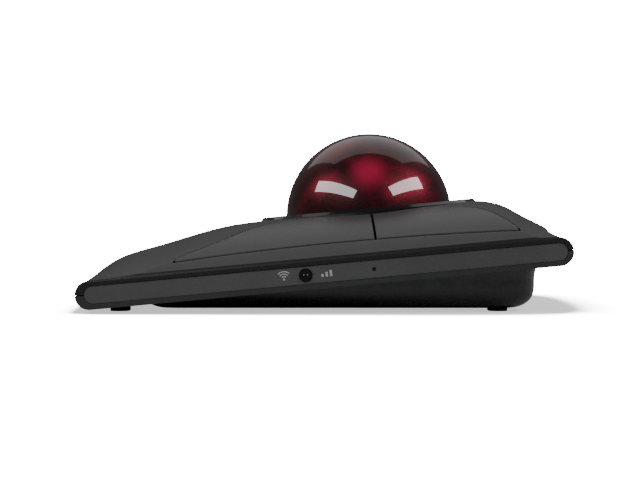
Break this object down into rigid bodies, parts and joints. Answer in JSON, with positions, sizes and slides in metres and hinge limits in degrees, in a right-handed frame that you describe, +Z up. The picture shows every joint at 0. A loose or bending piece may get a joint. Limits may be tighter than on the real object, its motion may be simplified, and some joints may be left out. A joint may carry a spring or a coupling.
{
  "type": "trackball mouse",
  "caption": "Low wide trackball mouse: a large red ball in a ring amid wing-shaped buttons on a thin sloping blade, with a shallow base below.",
  "frame": {"origin": "on the table under the middle of the body, at the feet undersides", "axes": "+X to the user's right, +Y to the rear (away from the user), +Z up"},
  "size_m": [0.1322, 0.155, 0.0565],
  "materials": {
    "shell_plastic": "fine satin grain",
    "base_plastic": "polished",
    "button_plastic": "satin",
    "strip_plastic": "matte",
    "ring_plastic": "polished",
    "ball_resin": "polished translucent red",
    "ball_inner_resin": "dark red",
    "cup_plastic": "moulded",
    "bearing_ceramic": "polished ceramic",
    "plunger_plastic": "moulded",
    "switch_plastic": "moulded",
    "board_laminate": "solder mask",
    "chip_plastic": "moulded",
    "lens_plastic": "clear",
    "steel": "plain",
    "connector_steel": "plated",
    "battery_wrap": "foil",
    "receiver_plastic": "moulded",
    "knob_plastic": "moulded",
    "small_button_plastic": "polished",
    "foot_rubber": "fine texture"
  },
  "bodies": {
    "housing": {"ball_bearings": "bearing_ceramic", "ball_cup": "cup_plastic", "ball_ring": "ring_plastic", "base_housing": "base_plastic", "battery": "battery_wrap", "board_chips": "chip_plastic", "board_screws": "steel", "bottom_tray": "base_plastic", "button_pins": "steel", "case_screws": "steel", "cup_screws": "steel", "dpi_switch": "switch_plastic", "foot_front_left": "foot_rubber", "foot_front_right": "foot_rubber", "foot_rear_left": "foot_rubber", "foot_rear_right": "foot_rubber", "main_board": "board_laminate", "mode_board": "board_laminate", "mode_switch": "switch_plastic", "sensor_board_left": "board_laminate", "sensor_board_right": "board_laminate", "sensor_chip_left": "chip_plastic", "sensor_chip_right": "chip_plastic", "sensor_lens_left": "lens_plastic", "sensor_lens_right": "lens_plastic", "side_strip_left": "strip_plastic", "side_strip_right": "strip_plastic", "status_led": "lens_plastic", "status_light_guide": "lens_plastic", "switch_board_left": "board_laminate", "switch_board_right": "board_laminate", "switch_front_left": "switch_plastic", "switch_front_right": "switch_plastic", "switch_rear_left": "switch_plastic", "switch_rear_right": "switch_plastic", "top_shell": "shell_plastic", "usb_c_socket": "connector_steel"},
    "ball_core": {"ball_core": "ball_inner_resin"},
    "ball_middle": {"ball_middle": "ball_inner_resin"},
    "ball_shell": {"ball_shell": "ball_resin"},
    "button_front_left": {"button_front_left": "button_plastic"},
    "button_front_right": {"button_front_right": "button_plastic"},
    "button_rear_left": {"button_rear_left": "button_plastic"},
    "button_rear_right": {"button_rear_right": "button_plastic"},
    "dpi_button": {"dpi_button": "small_button_plastic"},
    "mode_switch_knob": {"mode_switch_knob": "knob_plastic"},
    "plunger_front_left": {"plunger_front_left": "plunger_plastic"},
    "plunger_front_right": {"plunger_front_right": "plunger_plastic"},
    "plunger_rear_left": {"plunger_rear_left": "plunger_plastic"},
    "plunger_rear_right": {"plunger_rear_right": "plunger_plastic"},
    "receiver": {"receiver_cap": "receiver_plastic", "receiver_plug": "connector_steel"}
  },
  "joints": [
    {"name": "ball_twist", "type": "hinge", "parent": "housing", "child": "ball_core", "pos_m": [0, 0.015, 0.029], "axis": [0, 0, 1], "continuous": true},
    {"name": "ball_roll", "type": "hinge", "parent": "ball_core", "child": "ball_middle", "pos_m": [0, 0.015, 0.029], "axis": [1, 0, 0], "continuous": true},
    {"name": "ball_tilt", "type": "hinge", "parent": "ball_middle", "child": "ball_shell", "pos_m": [0, 0.015, 0.029], "axis": [0, 1, 0], "continuous": true},
    {"name": "press_front_left", "type": "hinge", "parent": "housing", "child": "button_front_left", "pos_m": [-0.0555, -0.02523, 0.01342], "axis": [0, 0.9957, 0.0924], "range_deg": [0, 1.3], "stiffness_Nm_per_rad": 2},
    {"name": "plunge_front_left", "type": "slide", "parent": "housing", "child": "plunger_front_left", "axis": [0, 0.0924, -0.9957], "range_m": [0, 0.000258]},
    {"name": "press_front_right", "type": "hinge", "parent": "housing", "child": "button_front_right", "pos_m": [0.0555, -0.02523, 0.01342], "axis": [0, 0.9957, 0.0924], "range_deg": [-1.3, 0], "stiffness_Nm_per_rad": 2},
    {"name": "plunge_front_right", "type": "slide", "parent": "housing", "child": "plunger_front_right", "axis": [0, 0.0924, -0.9957], "range_m": [0, 0.000258]},
    {"name": "press_rear_left", "type": "hinge", "parent": "housing", "child": "button_rear_left", "pos_m": [-0.0555, 0.04945, 0.02035], "axis": [0, 0.9957, 0.0924], "range_deg": [0, 1.3], "stiffness_Nm_per_rad": 2},
    {"name": "plunge_rear_left", "type": "slide", "parent": "housing", "child": "plunger_rear_left", "axis": [0, 0.0924, -0.9957], "range_m": [0, 0.000258]},
    {"name": "press_rear_right", "type": "hinge", "parent": "housing", "child": "button_rear_right", "pos_m": [0.0555, 0.04945, 0.02035], "axis": [0, 0.9957, 0.0924], "range_deg": [-1.3, 0], "stiffness_Nm_per_rad": 2},
    {"name": "plunge_rear_right", "type": "slide", "parent": "housing", "child": "plunger_rear_right", "axis": [0, 0.0924, -0.9957], "range_m": [0, 0.000258]},
    {"name": "dpi_press", "type": "slide", "parent": "housing", "child": "dpi_button", "axis": [-1, 0, 0], "range_m": [0, 0.0003], "stiffness_N_per_m": 2500},
    {"name": "mode_slide", "type": "slide", "parent": "housing", "child": "mode_switch_knob", "axis": [1, 0, 0], "range_m": [-0.002, 0.002]},
    {"name": "receiver_pull", "type": "slide", "parent": "housing", "child": "receiver", "axis": [0, 0, -1], "range_m": [0, 0.019]}
  ],
  "couplings": [
    {"joint": "plunge_front_left", "follows": "press_front_left", "m_per_rad": 0.0105},
    {"joint": "plunge_front_right", "follows": "press_front_right", "m_per_rad": -0.0105},
    {"joint": "plunge_rear_left", "follows": "press_rear_left", "m_per_rad": 0.0105},
    {"joint": "plunge_rear_right", "follows": "press_rear_right", "m_per_rad": -0.0105}
  ]
}
